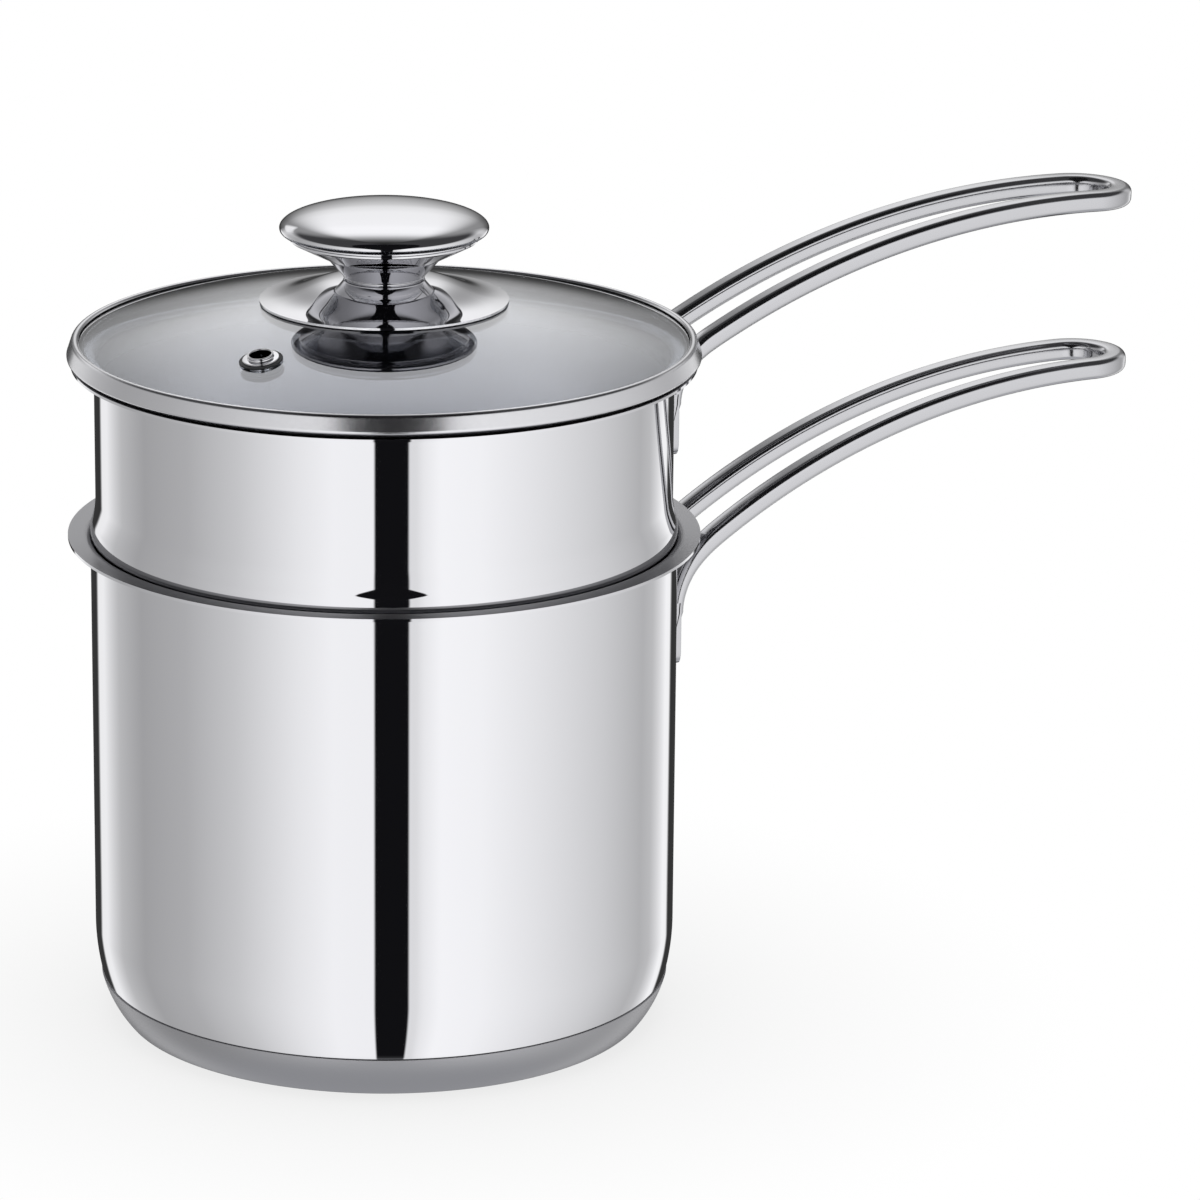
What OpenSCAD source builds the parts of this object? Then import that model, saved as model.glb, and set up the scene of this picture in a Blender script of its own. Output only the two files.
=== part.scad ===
// Double boiler for the stove: a lower saucepan with a capsule base, an insert
// pot that sits in its rim on a drawn bulge, and a glass lid with a steel band,
// a steam vent and a mushroom knob. Both pots carry a welded loop handle.
// The pots turn about Z, the stove is at Z = 0 and the handles run along +X.

/* [Lower pot] */
// Outside radius of the lower pot's wall
pot_r = 81; // [77:0.5:90]
// Height of the lower pot's rim above the stove
pot_h = 138.6; // [130:0.2:160]
// Sheet thickness of the lower pot
pot_t = 0.8; // [0.6:0.1:1]
// Flat width of the pouring flange
flange_w = 4.4; // [3:0.2:6]
// Inside radius where the wall turns out into the flange
throat_r = 2.6; // [2.2:0.2:3.4]
// Height where the wall starts to draw in towards the base
belly_z = 27; // [22:1:35]
// Radius of the drawn-in part of the wall
belly_r = 60; // [50:1:90]
// Radius of the floor's corner, inside the capsule base
corner_r = 3; // [2.5:0.25:4]

/* [Capsule base] */
// Height of the seam between the wall and the base
base_h = 12.2; // [11:0.2:14]
// Radius of the base's rounded side
base_side_r = 30; // [24:1:40]
// Radius of the edge round the resting face
base_edge_r = 1.2; // [0.8:0.1:2]
// Sheet thickness of the base cap
base_cap_t = 0.6; // [0.5:0.1:0.9]
// How far the base cap's edge stands proud of the wall at the seam
seam_step = 0.35; // [0.2:0.05:0.5]
// Open height of the seam line
seam_gap = 0.25; // [0.15:0.05:0.4]

/* [Insert pot] */
// Outside radius of the insert's wall above its bulge
insert_r = 79.5; // [76:0.5:82]
// Sheet thickness of the insert
insert_t = 0.7; // [0.5:0.1:0.9]
// How far the bulge stands out from the wall
bulge_out = 1.5; // [1.2:0.1:2.2]
// Radius of the bulge's underside, which rests in the lower pot's throat
bulge_r = 3; // [2.6:0.1:3.6]
// Radius of the bulge's shoulder
shoulder_r = 12; // [8:0.5:15]
// Radius of the hollow between the shoulder and the wall
hollow_r = 22; // [15:0.5:26]
// Outside radius of the insert below its bulge
insert_low_r = 77.6; // [73:0.1:78]
// Radius of the hollow under the bulge
neck_r = 2; // [1.5:0.1:3]
// Height of the insert's rim above the bulge
insert_up = 47.6; // [42:0.2:60]
// Depth of the insert below the bulge
insert_down = 54.4; // [40:0.2:70]
// Radius of the insert's bottom corner
insert_corner_r = 14; // [8:1:20]
// Flat width of the insert's rim
insert_flange_w = 4.8; // [4:0.2:5.4]
// Inside radius where the insert's wall turns out into its rim
insert_throat_r = 2.2; // [1.8:0.2:2.8]

/* [Handles] */
// Distance from the pots' axis to the handle tips
reach = 225; // [200:1:250]
// Distance between the centre lines of a handle's two rails
rail_pitch = 23; // [20:0.5:28]
// Width of a rail
rail_w = 6.5; // [5:0.25:8]
// Thickness of a rail
rail_t = 5.6; // [4.4:0.2:6.4]
// Radius of a rail's rounded edges
rail_edge_r = 2; // [1:0.1:2.1]
// Thickness of the foot plate on the wall
foot_t = 3.3; // [1.4:0.1:3.6]
// Height of the insert's foot plate
foot_h = 18; // [14:0.5:20]
// Height of the lower pot's foot plate
pot_foot_h = 18.4; // [14:0.2:24]
// Radius of the foot plate's lower corners
foot_corner_r = 4; // [2:0.5:6]
// Height of the lower handle's arch above the lower pot's rim
pot_arch_up = 29.7; // [20:0.1:40]
// Radius of the lower handle's arch
pot_arch_r = 205; // [190:5:240]
// Distance from the axis to the top of the lower handle's arch
pot_arch_s = 212.6; // [208:0.2:216]
// Radius of the lower handle's bend at the wall
pot_root_r = 26; // [20:1:30]
// Height of the upper handle's arch above the insert's rim
insert_arch_up = 30; // [26:0.1:40]
// Radius of the upper handle's arch
insert_arch_r = 230; // [215:5:260]
// Distance from the axis to the top of the upper handle's arch
insert_arch_s = 205; // [202:0.2:212]
// Radius of the upper handle's bend at the wall
insert_root_r = 20; // [16:1:24]
// Radius of a spot weld
weld_r = 2.4; // [1.5:0.1:3]

/* [Lid] */
// Outside radius of the lid band
band_r = 86.9; // [86:0.1:89]
// Sheet thickness of the lid band
band_t = 0.5; // [0.4:0.05:0.6]
// Height of the band from its seat to its crest
band_h = 6.2; // [5.8:0.1:7]
// Radius of the rolled crest
crest_r = 1.2; // [1:0.1:1.4]
// Radius of the band's lower edge
skirt_r = 0.8; // [0.7:0.05:1]
// Depth of the centring lip inside the insert
lip_h = 7; // [4:0.5:10]
// Thickness of the glass
glass_t = 4; // [3:0.1:4.2]
// Height of the glass dome
glass_rise = 13; // [9:0.2:16]

/* [Steam vent] */
// Distance of the vent from the axis
vent_s = 59.2; // [52:0.5:66]
// Direction of the vent, turned from the handles
vent_turn = -144; // [-180:1:180]
// Radius of the vent's hole
vent_r = 2.95; // [2.4:0.05:3.4]
// Sheet thickness of the eyelet
vent_t = 0.4; // [0.3:0.05:0.5]
// Radius of the eyelet's upper flange
vent_flange_r = 5; // [4.8:0.1:6]
// Radius of the vent's seals
vent_seal_r = 5.9; // [5.6:0.1:7]
// Thickness of the vent's seals
vent_seal_t = 0.6; // [0.4:0.1:1]
// Height of the eyelet's rolled edge above its flange
vent_roll_h = 1.2; // [1:0.1:2]

/* [Knob] */
// Radius of the knob's cap
cap_r = 28.6; // [26:0.2:32]
// Height of the cap's dome above its widest place
cap_dome_h = 6.2; // [4:0.2:9]
// Sheet thickness of the cap
cap_t = 0.8; // [0.6:0.1:1.2]
// Radius of the cap's rolled edge
cap_roll_r = 1.4; // [1.1:0.1:1.8]
// Radius where the cone meets the neck
neck_top_r = 15.8; // [14:0.1:18]
// Radius of the knob's waist
waist_r = 11.3; // [10:0.1:13]
// Height of the cone under the cap
cone_h = 6.7; // [5:0.1:9]
// Height of the neck
neck_h = 5.9; // [5:0.1:9]
// Radius of the disc under the knob
disc_r = 34.1; // [30:0.1:38]
// Sheet thickness of the disc
disc_t = 0.6; // [0.5:0.1:1]
// Height of the disc's edge above the glass under it
disc_lift = 0.85; // [0.8:0.05:1.6]
// Height of the knob's waist above the disc's edge
disc_rise = 5.9; // [4.5:0.1:8]
// Swing of the disc's slope, which is steepest halfway in
disc_bell = 3.4; // [1:0.2:4]
// Radius of the threaded boss inside the knob
boss_r = 6; // [5:0.1:7]
// Radius of the knob screw's shank
screw_r = 2.5; // [2:0.1:3]
// Radius of the knob screw's head
screw_head_r = 4.6; // [4.2:0.1:5.5]
// Height of the knob screw's head
screw_head_h = 2.8; // [2:0.1:3.5]
// Radius of the washer under the glass
washer_r = 9; // [8:0.5:12]
// Thickness of the washer under the glass
washer_t = 0.8; // [0.6:0.1:1.2]
// Thickness of the knob's two seals
seal_t = 1; // [0.6:0.1:1.4]

/* [Clearances] */
// Gap between the insert's bulge and the lower pot's throat
seat_gap = 0.3; // [0.25:0.05:0.5]
// Gap between the lid band and the insert's rim
lid_gap = 0.3; // [0.25:0.05:0.5]
// Gap between the centring lip and the insert's wall
lip_gap = 0.6; // [0.4:0.1:1]
// Gap between a handle's foot and the wall, filled by the spot welds
weld_gap = 0.3; // [0.2:0.05:0.4]
// Gap between pieces that are bonded or clamped together
bond_gap = 0.05; // [0.03:0.01:0.1]
// Gap round the screw and the eyelet in their holes
hole_gap = 0.3; // [0.2:0.05:0.5]

/* [Hidden] */
$fn = 96;
steel = "#C9CBCE";
satin = "#8E9094";
silicone = "#3A3B3D";

// Lower pot, derived places
rim_r = pot_r - pot_t + throat_r + flange_w;
belly_turn = asin((belly_z - base_h) / belly_r);
seam_r = pot_r - belly_r * (1 - cos(belly_turn));
floor_z = base_h - corner_r * (1 - sin(belly_turn));
throat_s = pot_r - pot_t + throat_r;
throat_z = pot_h - throat_r;

// Capsule base, derived places
side_s = seam_r + seam_step - base_side_r * cos(belly_turn);
side_z = base_h + base_side_r * sin(belly_turn);
edge_turn = asin((side_z - base_edge_r) / (base_side_r - base_edge_r));
edge_s = side_s + (base_side_r - base_edge_r) * cos(edge_turn);

// Insert, derived places
bulge_s = insert_r + bulge_out - bulge_r;
bulge_reach = bulge_r + throat_r + seat_gap;
bulge_z = throat_z + sqrt(pow(bulge_reach, 2) - pow(throat_s - bulge_s, 2));
under_turn = acos((insert_low_r - bulge_s + neck_r) / (bulge_r + neck_r));
shoulder_s = insert_r + bulge_out - shoulder_r;
shoulder_turn = acos((insert_r + hollow_r - shoulder_s) / (shoulder_r + hollow_r));
insert_rim_z = bulge_z + insert_up;
insert_floor_z = bulge_z - insert_down;
insert_throat_s = insert_r - insert_t + insert_throat_r;
insert_rim_r = insert_throat_s + insert_flange_w;

// Handles, derived places
slot_r = (rail_pitch - rail_w) / 2;
ring_s = reach - (rail_pitch + rail_w) / 2;
foot_run = 6;
foot_over = 3;
feather_t = 0.8;
weld_rows = [0.27, 0.62];
weld_spread = 0.36;

// How far a cutter runs past the face it cuts
past = 1;

// Lid, derived places
lid_z = insert_rim_z + lid_gap;
crest_in = 2.3;
crest_s = band_r - crest_in;
crest_z = lid_z + band_h - crest_r;
skirt_s = band_r - skirt_r;
skirt_lift = 1;
skirt_z = lid_z + skirt_lift + skirt_r;
skirt_dip = 35;
face_run = norm([skirt_s - crest_s, skirt_z - crest_z]);
face_turn = atan2(skirt_z - crest_z, skirt_s - crest_s) + acos((crest_r - skirt_r) / face_run);
skirt_end_s = skirt_s + skirt_r * cos(skirt_dip - 90);
skirt_end_z = skirt_z + skirt_r * sin(skirt_dip - 90);
seat_s = skirt_end_s - (skirt_end_z - lid_z) / tan(skirt_dip);
lip_s = insert_r - insert_t - lip_gap;
lip_bend_r = 1.5;
glass_in = 2.5;
glass_r = band_r - glass_in;
glass_edge_z = crest_z - bond_gap;
dome_r = (pow(glass_r, 2) + pow(glass_rise, 2)) / (2 * glass_rise);
dome_z = glass_edge_z + glass_rise - dome_r;
glass_z = glass_edge_z + glass_rise;
seal_w = 3;
seal_in_r = glass_r - seal_w;
seal_lip_h = 0.9;

// Knob, derived places
boss_z = glass_z + seal_t;
disc_edge_z = dome_z + sqrt(pow(dome_r, 2) - pow(disc_r, 2)) + disc_lift;
waist_z = disc_edge_z + disc_rise;
neck_top_z = waist_z + neck_h;
cone_top_z = neck_top_z + cone_h;
cap_z = cone_top_z + cap_roll_r;
waist_groove_w = 0.8;
waist_groove_h = 0.45;
cone_step_w = 1.6;
cone_step_h = 1.8;
boss_over = 3;
boss_top_z = neck_top_z + boss_over;
boss_inset = 1;
boss_flange_r = waist_r - boss_inset;
under_z = glass_z - glass_t - seal_t;
washer_z = under_z - washer_t;
screw_over = 4;
screw_top_z = waist_z + screw_over;
screw_end_room = 1;
recess_w = 1;
recess_share = 1.1;
vent_roll_share = 0.7;
rail_edge_share = 0.45;

// Points on an arc round [s, z] from angle a to angle b
function arc(s, z, r, a, b, n = 10) =
    [for (i = [0:n]) let (t = a + (b - a) * i / n) [s + r * cos(t), z + r * sin(t)]];

function reversed(list) = [for (i = [len(list) - 1:-1:0]) list[i]];

// The lower pot's outline from the floor to the rim, at depth d in its sheet
function pot_line(d) = concat(
    [[0, floor_z + d]],
    arc(seam_r - corner_r * cos(belly_turn), floor_z + corner_r, corner_r - d, -90, -belly_turn, 6),
    arc(pot_r - belly_r, belly_z, belly_r - d, -belly_turn, 0, 8),
    arc(throat_s, throat_z, throat_r - pot_t + d, 180, 90, 8),
    [[rim_r, pot_h - pot_t + d]]);

// The base cap's outline from the middle of the resting face to the seam
function base_line(d) = concat(
    [[0, d]],
    arc(edge_s, base_edge_r, base_edge_r - d, -90, -edge_turn, 5),
    arc(side_s, side_z, base_side_r - d, -edge_turn, -belly_turn, 8));

// The insert's outline from its floor to its rim, at depth d in its sheet
function insert_line(d) = concat(
    [[0, insert_floor_z + d]],
    arc(insert_low_r - insert_corner_r, insert_floor_z + insert_corner_r,
        insert_corner_r - d, -90, 0, 10),
    arc(bulge_s + (bulge_r + neck_r) * cos(under_turn),
        bulge_z - (bulge_r + neck_r) * sin(under_turn), neck_r + d, 180, 180 - under_turn, 6),
    arc(bulge_s, bulge_z, bulge_r - d, -under_turn, 0, 8),
    arc(shoulder_s, bulge_z, shoulder_r - d, 0, shoulder_turn, 6),
    arc(shoulder_s + (shoulder_r + hollow_r) * cos(shoulder_turn),
        bulge_z + (shoulder_r + hollow_r) * sin(shoulder_turn),
        hollow_r + d, 180 + shoulder_turn, 180, 6),
    arc(insert_throat_s, insert_rim_z - insert_throat_r,
        insert_throat_r - insert_t + d, 180, 90, 8),
    [[insert_rim_r, insert_rim_z - insert_t + d]]);

// The lid band from its crest over the skirt and the seat to the lip
function band_shell(d) = concat(
    arc(crest_s, crest_z, crest_r - d, 150, face_turn, 8),
    arc(skirt_s, skirt_z, skirt_r - d, face_turn, skirt_dip - 90, 6),
    [[seat_s - d * tan(skirt_dip / 2), lid_z + d]]);

function band_line(d) = concat(
    band_shell(d),
    arc(lip_s + lip_bend_r, lid_z - lip_bend_r, lip_bend_r + d, 90, 180, 5),
    [[lip_s - d, lid_z - lip_h]]);

// The glass dome's section from radius s, grown by g on every side
function glass_section(s, g) = let (
    top = dome_r + g,
    low = dome_r - glass_t - g,
    edge = glass_r + g,
    a0 = acos(s / top),
    a1 = acos(edge / top),
    b0 = acos(s / low),
    b1 = acos(edge / low))
    concat(arc(0, dome_z, top, a0, a1, 16), arc(0, dome_z, low, b1, b0, 16));

// The disc's face: a shallow bell, gentle at its edge and at the waist, at depth d in its sheet
function disc_face(d) = concat(
    [[boss_r + bond_gap, waist_z - d]],
    [for (i = [0:16]) let (u = 1 - i / 16)
        [disc_r - (disc_r - waist_r) * u,
         disc_edge_z + disc_rise * u - disc_bell * sin(360 * u) / (2 * PI) - d]]);

// A closed sheet between two outlines
module sheet(outer, inner) {
    polygon(concat(outer, reversed(inner)));
}

// A washer from z1 to z2
module ring(r_in, r_out, z1, z2) {
    translate([0, 0, z1]) difference() {
        cylinder(h = z2 - z1, r = r_out);
        translate([0, 0, -past]) cylinder(h = z2 - z1 + 2 * past, r = r_in);
    }
}

module pot_body() {
    color(steel) rotate_extrude($fn = 192) sheet(pot_line(0), pot_line(pot_t));
}

module base_core() {
    color("#B9BABC") rotate_extrude($fn = 192) intersection() {
        polygon(concat(base_line(base_cap_t + bond_gap), [[0, base_h]]));
        square([seam_r, floor_z - bond_gap]);
    }
}

module base_cap() {
    color(satin) rotate_extrude($fn = 192) difference() {
        polygon(concat(base_line(0), [[0, base_h]]));
        polygon(concat(base_line(base_cap_t), [[0, base_h]]));
        polygon(concat(pot_line(-bond_gap), [[0, pot_h]]));
        translate([0, base_h - seam_gap]) square([rim_r, seam_gap * 2]);
    }
}

module insert_body() {
    color(steel) rotate_extrude($fn = 192) sheet(insert_line(0), insert_line(insert_t));
}

// The distance from the axis to the middle of a rail where it stands on the wall
function root_place(wall) =
    sqrt(pow(wall + weld_gap, 2) - pow(slot_r, 2)) + rail_t / 2 + bond_gap;

// The turn of the arch between its top and the bend at the wall
function arch_turn(wall, arch_s, arch_r, root_r) =
    asin((arch_s - root_place(wall) - root_r) / (arch_r - root_r));

// The height at which the rails meet the wall
function root_height(wall, arch_s, arch_z, arch_r, root_r) =
    let (turn = arch_turn(wall, arch_s, arch_r, root_r))
    arch_z - arch_r * (1 - cos(turn)) - root_r * cos(turn);

// A rail's cross-section: x points out of the loop, y towards its top face
function rail_section(h) =
    let (r = min(rail_edge_r, h * rail_edge_share), x = rail_w / 2 - r, top = rail_t / 2 - r,
         low = rail_t / 2 - h + r)
    concat(arc(x, top, r, 90, 0, 4), arc(x, low, r, 0, -90, 4),
           arc(-x, low, r, -90, -180, 4), arc(-x, top, r, 180, 90, 4));

// One rail's stations from the wall to the loop's end, as [s, z, slope, thickness]
function rail_stations(wall, arch_s, arch_z, arch_r, root_r) =
    let (turn = arch_turn(wall, arch_s, arch_r, root_r),
         root_s = root_place(wall),
         root_z = root_height(wall, arch_s, arch_z, arch_r, root_r),
         tip = asin((ring_s - arch_s) / arch_r))
    concat(
        [for (i = [0:2]) [root_s, root_z - foot_run * (1 - i / 3), 90,
                          feather_t + (foot_t - feather_t) * i / 3]],
        [for (i = [0:11]) let (a = 90 + (turn - 90) * i / 12, u = i / 12)
            [root_s + root_r * (1 - sin(a)), root_z + root_r * cos(a), a,
             foot_t + (rail_t - foot_t) * u * u * (3 - 2 * u)]],
        [for (i = [0:18]) let (a = turn - (turn + tip) * i / 18)
            [arch_s - arch_r * sin(a), arch_z - arch_r * (1 - cos(a)), a, rail_t]]);

// The rings of points round the whole loop: one rail out, the round end, the other back
function loop_rings(wall, arch_s, arch_z, arch_r, root_r) =
    let (rail = rail_stations(wall, arch_s, arch_z, arch_r, root_r),
         last = rail[len(rail) - 1])
    concat(
        [for (q = rail) [for (p = rail_section(q[3]))
            [q[0] - p[1] * sin(q[2]), rail_pitch / 2 + p[0], q[1] + p[1] * cos(q[2])]]],
        [for (i = [1:19]) let (t = 90 - 180 * i / 20)
            [for (p = rail_section(rail_t)) let (r = rail_pitch / 2 + p[0])
                [last[0] + r * cos(t) * cos(last[2]) - p[1] * sin(last[2]),
                 r * sin(t),
                 last[1] + r * cos(t) * sin(last[2]) + p[1] * cos(last[2])]]],
        [for (q = reversed(rail)) [for (p = rail_section(q[3]))
            [q[0] - p[1] * sin(q[2]), -rail_pitch / 2 - p[0], q[1] + p[1] * cos(q[2])]]]);

// A closed tube through rings that all have the same number of points
module tube(rings) {
    n = len(rings[0]);
    last = len(rings) - 1;
    polyhedron(
        points = [for (ring = rings, p = ring) p],
        faces = concat(
            [for (i = [0:last - 1], j = [0:n - 1])
                [i * n + j, i * n + (j + 1) % n, (i + 1) * n + (j + 1) % n]],
            [for (i = [0:last - 1], j = [0:n - 1])
                [i * n + j, (i + 1) * n + (j + 1) % n, (i + 1) * n + j]],
            [[for (j = [n - 1:-1:0]) j]],
            [[for (j = [0:n - 1]) last * n + j]]));
}

// A loop handle whose arch is highest at [arch_s, arch_z]
module loop_handle(wall, arch_s, arch_z, arch_r, root_r, plate_h) {
    foot_top = root_height(wall, arch_s, arch_z, arch_r, root_r) + foot_over;
    tube(loop_rings(wall, arch_s, arch_z, arch_r, root_r));
    intersection() {
        ring(wall + weld_gap, wall + weld_gap + foot_t, foot_top - plate_h, foot_top, $fn = 192);
        translate([wall - plate_h, 0, foot_top - plate_h / 2]) rotate([90, 0, 90])
            linear_extrude(2 * plate_h) foot_outline(plate_h);
    }
}

// The foot plate's outline seen along X, with the slot's round end cut in its top
module foot_outline(plate_h) {
    width = rail_pitch + rail_w;
    difference() {
        union() {
            translate([-width / 2, -plate_h / 2 + foot_corner_r])
                square([width, plate_h - foot_corner_r]);
            translate([foot_corner_r - width / 2, -plate_h / 2])
                square([width - 2 * foot_corner_r, foot_corner_r + past]);
            for (side = [-1, 1])
                translate([side * (width / 2 - foot_corner_r), foot_corner_r - plate_h / 2])
                    circle(foot_corner_r, $fn = 32);
        }
        translate([0, plate_h / 2 + slot_r / 2]) circle(slot_r, $fn = 48);
    }
}

// Four spot welds in the gap between the wall and the foot plate
module welds(wall, arch_s, arch_z, arch_r, root_r, plate_h) {
    low = root_height(wall, arch_s, arch_z, arch_r, root_r) + foot_over - plate_h;
    intersection() {
        ring(wall, wall + weld_gap - bond_gap, low, low + plate_h, $fn = 192);
        union() {
            for (side = [-1, 1], row = weld_rows)
                translate([wall - plate_h / 2, side * rail_pitch * weld_spread, low + row * plate_h])
                    rotate([0, 90, 0]) cylinder(h = plate_h, r = weld_r, $fn = 32);
        }
    }
}

module pot_handle() {
    color(steel)
        loop_handle(pot_r, pot_arch_s, pot_h + pot_arch_up, pot_arch_r, pot_root_r, pot_foot_h);
}

module pot_handle_welds() {
    color(satin)
        welds(pot_r, pot_arch_s, pot_h + pot_arch_up, pot_arch_r, pot_root_r, pot_foot_h);
}

module insert_handle() {
    color(steel)
        loop_handle(insert_r, insert_arch_s, insert_rim_z + insert_arch_up, insert_arch_r,
                    insert_root_r, foot_h);
}

module insert_handle_welds() {
    color(satin)
        welds(insert_r, insert_arch_s, insert_rim_z + insert_arch_up, insert_arch_r,
              insert_root_r, foot_h);
}

module lid_band() {
    color(steel) rotate_extrude($fn = 192) sheet(band_line(0), band_line(band_t));
}

// Puts its children on the glass at the vent, with Z along the glass's normal
module at_vent() {
    rotate([0, 0, vent_turn]) translate([0, 0, dome_z]) rotate([0, asin(vent_s / dome_r), 0])
        translate([0, 0, dome_r]) children();
}

module lid_glass() {
    color("#9FA6AE", 0.4) difference() {
        rotate_extrude($fn = 192) polygon(glass_section(screw_r + hole_gap * 2, 0));
        at_vent() translate([0, 0, -glass_t - past])
            cylinder(h = glass_t + 2 * past, r = vent_r + vent_t + hole_gap);
    }
}

module lid_seal() {
    color(silicone) rotate_extrude($fn = 192) difference() {
        polygon(concat(
            band_shell(band_t + bond_gap),
            [[seal_in_r, lid_z + band_t + bond_gap],
             [seal_in_r, lid_z + band_t + seal_lip_h],
             [glass_r - past, crest_z]]));
        polygon(glass_section(seal_in_r - past, bond_gap));
    }
}

// The eyelet's tube, its rolled top, its upper flange and its spread lower end
module vent_eyelet() {
    flange_z = vent_seal_t + bond_gap;
    low_z = -glass_t - vent_seal_t - bond_gap;
    roll = vent_t * vent_roll_share;
    color(steel) at_vent() rotate_extrude($fn = 64) {
        translate([vent_r, low_z - vent_t])
            square([vent_t, flange_z + vent_roll_h - low_z + vent_t]);
        translate([vent_r, flange_z]) square([vent_flange_r - vent_r, vent_t]);
        translate([vent_r, low_z - vent_t]) square([vent_flange_r - vent_r, vent_t]);
        translate([vent_r + roll, flange_z + vent_roll_h]) circle(roll, $fn = 24);
    }
}

module vent_upper_seal() {
    color(silicone) at_vent()
        ring(vent_r + vent_t + bond_gap, vent_seal_r, bond_gap, vent_seal_t);
}

module vent_lower_seal() {
    color(silicone) at_vent()
        ring(vent_r + vent_t + bond_gap, vent_seal_r, -glass_t - vent_seal_t,
             -glass_t - 2 * bond_gap);
}

// The cap is a drawn shell whose rolled edge grips the cone
module knob_cap() {
    dome = function (d) [for (i = [0:16]) let (t = 90 * i / 16)
        [(cap_r - cap_roll_r) * sin(t) + (cap_roll_r - d) * sin(t),
         cap_z + (cap_dome_h - d) * cos(t)]];
    color(steel) rotate_extrude($fn = 144) sheet(
        concat(dome(0), arc(cap_r - cap_roll_r, cap_z, cap_roll_r, 0, -90, 6)),
        concat(dome(cap_t), arc(cap_r - cap_roll_r, cap_z, cap_roll_r - cap_t, 0, -90, 4)));
}

// The cone under the cap and the neck, turned from one piece
module knob_cone() {
    top_z = cap_z + cap_t / 2;
    edge_s = cap_r - cap_roll_r - bond_gap;
    low_s = waist_r - waist_groove_w;
    color(steel) difference() {
        rotate_extrude($fn = 144) polygon([
            [0, waist_z + bond_gap], [low_s, waist_z + bond_gap], [low_s, waist_z + waist_groove_h],
            [waist_r, waist_z + waist_groove_h], [neck_top_r, neck_top_z],
            [edge_s - cone_step_w, cone_top_z - cone_step_h], [edge_s - cone_step_w, cone_top_z],
            [edge_s, cone_top_z], [edge_s, top_z], [0, top_z]]);
        translate([0, 0, waist_z - past])
            cylinder(h = boss_top_z - waist_z + past + bond_gap, r = boss_r + bond_gap);
    }
}

module knob_disc() {
    color(steel) rotate_extrude($fn = 144) sheet(disc_face(0), disc_face(disc_t));
}

// The threaded boss, with a flange that carries the disc
module knob_boss() {
    color("#B08D57") difference() {
        union() {
            translate([0, 0, boss_z])
                cylinder(h = waist_z - disc_t - bond_gap - boss_z, r = boss_flange_r);
            translate([0, 0, boss_z]) cylinder(h = boss_top_z - boss_z, r = boss_r);
        }
        translate([0, 0, boss_z - past])
            cylinder(h = screw_top_z + screw_end_room + past - boss_z, r = screw_r + bond_gap,
                     $fn = 48);
    }
}

module knob_seal() {
    color(silicone) ring(screw_r + hole_gap, boss_flange_r, glass_z + bond_gap, boss_z - bond_gap);
}

module knob_lower_seal() {
    top_z = dome_z + sqrt(pow(dome_r - glass_t, 2) - pow(washer_r, 2)) - bond_gap;
    color(silicone) ring(screw_r + hole_gap, washer_r, under_z, top_z);
}

module knob_washer() {
    color(steel) ring(screw_r + hole_gap, washer_r, washer_z, under_z - bond_gap);
}

// The pan-head screw, with a cross recess
module knob_screw() {
    head_z = washer_z - bond_gap - screw_head_h;
    color(steel) difference() {
        union() {
            translate([0, 0, head_z]) cylinder(h = screw_head_h, r = screw_head_r, $fn = 64);
            translate([0, 0, head_z]) cylinder(h = screw_top_z - head_z, r = screw_r, $fn = 48);
        }
        for (turn = [0, 90])
            translate([0, 0, head_z]) rotate([0, 0, turn])
                cube([screw_head_r * recess_share, recess_w, screw_head_h * recess_share],
                     center = true);
    }
}

pot_body();
base_core();
base_cap();
pot_handle();
pot_handle_welds();
insert_body();
insert_handle();
insert_handle_welds();
lid_band();
lid_glass();
lid_seal();
vent_eyelet();
vent_upper_seal();
vent_lower_seal();
knob_cap();
knob_cone();
knob_disc();
knob_boss();
knob_seal();
knob_lower_seal();
knob_washer();
knob_screw();
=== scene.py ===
"""Double boiler: lower saucepan, insert pot and glass lid, all mirror-polished steel.

The pieces' lengths are in millimetres until a mesh is made, and the studio's in metres. The
pots turn about Z, the stove is at Z = 0 and the handles run along +X, as in the CAD frame
that this dresses.
"""
import math

import bmesh
import bpy
import numpy as np
from mathutils import Matrix, Vector


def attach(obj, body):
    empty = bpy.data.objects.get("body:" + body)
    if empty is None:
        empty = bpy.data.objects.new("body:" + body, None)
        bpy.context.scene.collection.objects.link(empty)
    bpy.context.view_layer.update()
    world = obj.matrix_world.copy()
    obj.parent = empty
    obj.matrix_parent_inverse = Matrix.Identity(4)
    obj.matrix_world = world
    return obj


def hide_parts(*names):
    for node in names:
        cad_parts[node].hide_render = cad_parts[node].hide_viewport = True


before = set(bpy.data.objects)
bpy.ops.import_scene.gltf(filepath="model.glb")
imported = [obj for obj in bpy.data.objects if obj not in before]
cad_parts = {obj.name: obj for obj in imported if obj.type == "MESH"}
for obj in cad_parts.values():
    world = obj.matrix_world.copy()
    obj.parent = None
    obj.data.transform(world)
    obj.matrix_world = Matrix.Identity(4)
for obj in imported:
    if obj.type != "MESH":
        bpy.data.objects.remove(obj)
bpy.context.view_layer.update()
MM = 0.001


# Curves

def arc(s, z, r, start, end, steps=16):
    """Points on the circle of radius r round (s, z), from angle start to angle end in degrees."""
    t = np.radians(np.linspace(start, end, steps + 1))
    return np.column_stack([s + r * np.cos(t), z + r * np.sin(t)])


def run(start, end, steps=4, near=0.25):
    """A straight run from start to end whose first and last steps are short, so that the
    smooth shading of the bends beside it doesn't spread over it."""
    start, end = np.asarray(start, float), np.asarray(end, float)
    edge = min(near / np.linalg.norm(end - start), 0.3)
    t = np.concatenate([[0.0], np.linspace(edge, 1 - edge, steps + 1), [1.0]])
    return start + t[:, None] * (end - start)


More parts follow.
